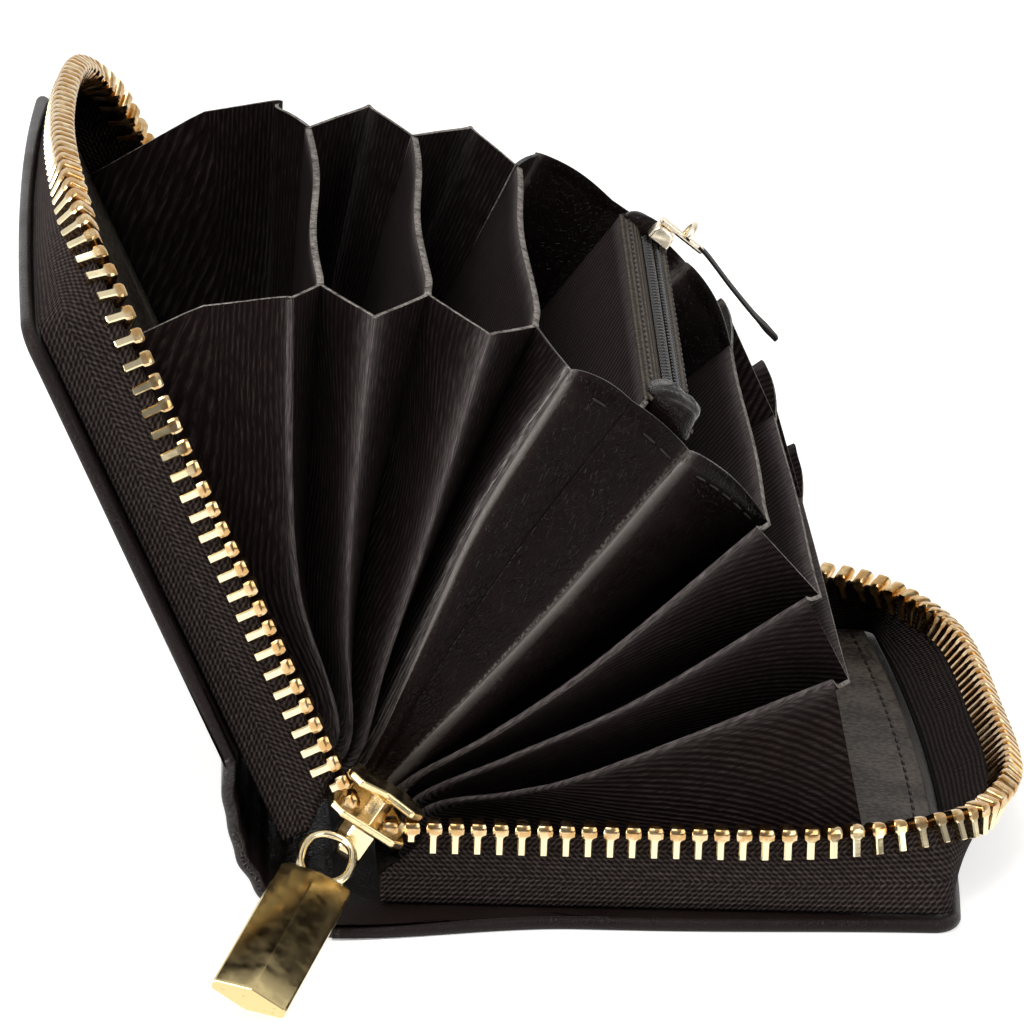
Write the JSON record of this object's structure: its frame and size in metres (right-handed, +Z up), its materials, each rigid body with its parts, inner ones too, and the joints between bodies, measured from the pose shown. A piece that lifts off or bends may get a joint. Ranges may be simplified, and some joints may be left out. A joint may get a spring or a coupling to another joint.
{
  "type": "accordion card wallet",
  "caption": "Black leather zip-around card wallet lying open, with a fan of pleated dividers, a zipped coin pocket and a light gold metal zip.",
  "frame": {"origin": "on the resting face of the lower cover, under the line about which the covers close, level with the near row of zip teeth", "axes": "+X along the lower cover away from the spine, +Y along the spine away from the zip slider, +Z up"},
  "size_m": [0.12, 0.1476, 0.0802],
  "materials": {
    "black_leather": "smooth black leather with a low gloss",
    "grained_lining": "grained grey-black leather",
    "woven_tape": "woven black zip tape",
    "pleat_fabric": "ribbed black cloth",
    "light_gold": "polished light gold plating",
    "nylon_coil": "black nylon coil"
  },
  "bodies": {
    "lower": {"lower_cover": "black_leather", "lower_lining": "grained_lining", "lower_tape": "woven_tape", "lower_teeth": "light_gold", "spine_leather": "black_leather", "pleat_1": "pleat_fabric"},
    "divider_1": {"card_divider_1": "pleat_fabric", "pleat_2": "pleat_fabric"},
    "divider_2": {"card_divider_2": "pleat_fabric", "pleat_3": "pleat_fabric"},
    "divider_3": {"card_divider_3": "pleat_fabric", "pleat_4": "pleat_fabric"},
    "pocket": {"coin_wall_lower": "black_leather", "coin_wall_upper": "black_leather", "coin_floor": "pleat_fabric", "coin_end_near": "pleat_fabric", "coin_end_far": "pleat_fabric", "coin_tape_lower": "woven_tape", "coin_tape_upper": "woven_tape", "coin_coil_lower": "nylon_coil", "coin_coil_upper": "nylon_coil", "coin_tab_near": "black_leather", "coin_tab_far": "black_leather", "pleat_5": "pleat_fabric"},
    "zip_slider": {"main_slider": "light_gold", "slider_crown": "light_gold", "mouth_tooth_lower": "light_gold", "mouth_tooth_upper": "light_gold", "zip_stop": "light_gold"},
    "divider_4": {"card_divider_4": "pleat_fabric", "pleat_6": "pleat_fabric"},
    "divider_5": {"card_divider_5": "pleat_fabric", "pleat_7": "pleat_fabric"},
    "divider_6": {"card_divider_6": "pleat_fabric"},
    "upper": {"upper_cover": "black_leather", "upper_lining": "grained_lining", "upper_tape": "woven_tape", "upper_teeth": "light_gold", "pleat_8": "pleat_fabric"},
    "coin_zip": {"coin_slider": "light_gold", "coin_slider_lug": "light_gold"},
    "coin_tag": {"coin_pull": "black_leather"},
    "puller": {"main_puller": "light_gold"}
  },
  "joints": [
    {"name": "cover_turn", "type": "hinge", "parent": "lower", "child": "upper", "pos_m": [0, 0.0572, 0.012], "axis": [0, -1, 0], "range_deg": [-116.14, 0], "deforming": ["spine_leather", "pleat_8"]},
    {"name": "slider_turn", "type": "hinge", "parent": "lower", "child": "zip_slider", "pos_m": [0, 0.0005, 0.012], "axis": [0, -1, 0], "range_deg": [-58.07, 0]},
    {"name": "fold_1", "type": "hinge", "parent": "lower", "child": "divider_1", "pos_m": [0.00461, 0.0572, 0.00283], "axis": [0, -1, 0], "range_deg": [-21.6, 0], "deforming": ["pleat_1"]},
    {"name": "fold_2", "type": "hinge", "parent": "divider_1", "child": "divider_2", "pos_m": [0.00455, 0.0572, 0.00391], "axis": [0, -1, 0], "range_deg": [-9.4, 0], "deforming": ["pleat_2"]},
    {"name": "fold_3", "type": "hinge", "parent": "divider_2", "child": "divider_3", "pos_m": [0.00362, 0.0572, 0.00522], "axis": [0, -1, 0], "range_deg": [-9.2, 0], "deforming": ["pleat_3"]},
    {"name": "fold_4", "type": "hinge", "parent": "divider_3", "child": "pocket", "pos_m": [0.00109, 0.0572, 0.00761], "axis": [0, -1, 0], "range_deg": [-13, 0], "deforming": ["pleat_4"]},
    {"name": "fold_5", "type": "hinge", "parent": "pocket", "child": "divider_4", "pos_m": [-0.00284, 0.0572, 0.01035], "axis": [0, -1, 0], "range_deg": [-13.2, 0], "deforming": ["pleat_5"]},
    {"name": "fold_6", "type": "hinge", "parent": "divider_4", "child": "divider_5", "pos_m": [-0.00573, 0.0572, 0.01155], "axis": [0, -1, 0], "range_deg": [-11, 0], "deforming": ["pleat_6"]},
    {"name": "fold_7", "type": "hinge", "parent": "divider_5", "child": "divider_6", "pos_m": [-0.00747, 0.0572, 0.01177], "axis": [0, -1, 0], "range_deg": [-10.9, 0], "deforming": ["pleat_7"]},
    {"name": "coin_zip_slide", "type": "slide", "parent": "pocket", "child": "coin_zip", "axis": [0, 1, 0], "range_m": [-0.058, 0]},
    {"name": "coin_pull_swivel", "type": "hinge", "parent": "coin_zip", "child": "coin_tag", "pos_m": [0.03502, 0.0913, 0.05811], "axis": [0.599, 0, 0.8007], "range_deg": [-90, 0]},
    {"name": "puller_swing", "type": "hinge", "parent": "zip_slider", "child": "puller", "pos_m": [-0.00227, -0.0021, 0.00835], "axis": [0.8682, -0.2663, -0.4187], "range_deg": [-30, 60]}
  ],
  "couplings": [
    {"joint": "slider_turn", "follows": "cover_turn", "ratio": 0.5},
    {"joint": "fold_1", "follows": "cover_turn", "ratio": 0.18598},
    {"joint": "fold_2", "follows": "cover_turn", "ratio": 0.080937},
    {"joint": "fold_3", "follows": "cover_turn", "ratio": 0.079215},
    {"joint": "fold_4", "follows": "cover_turn", "ratio": 0.11193},
    {"joint": "fold_5", "follows": "cover_turn", "ratio": 0.11366},
    {"joint": "fold_6", "follows": "cover_turn", "ratio": 0.094713},
    {"joint": "fold_7", "follows": "cover_turn", "ratio": 0.093852},
    {"joint": "coin_pull_swivel", "follows": "cover_turn", "ratio": 0.77493}
  ]
}
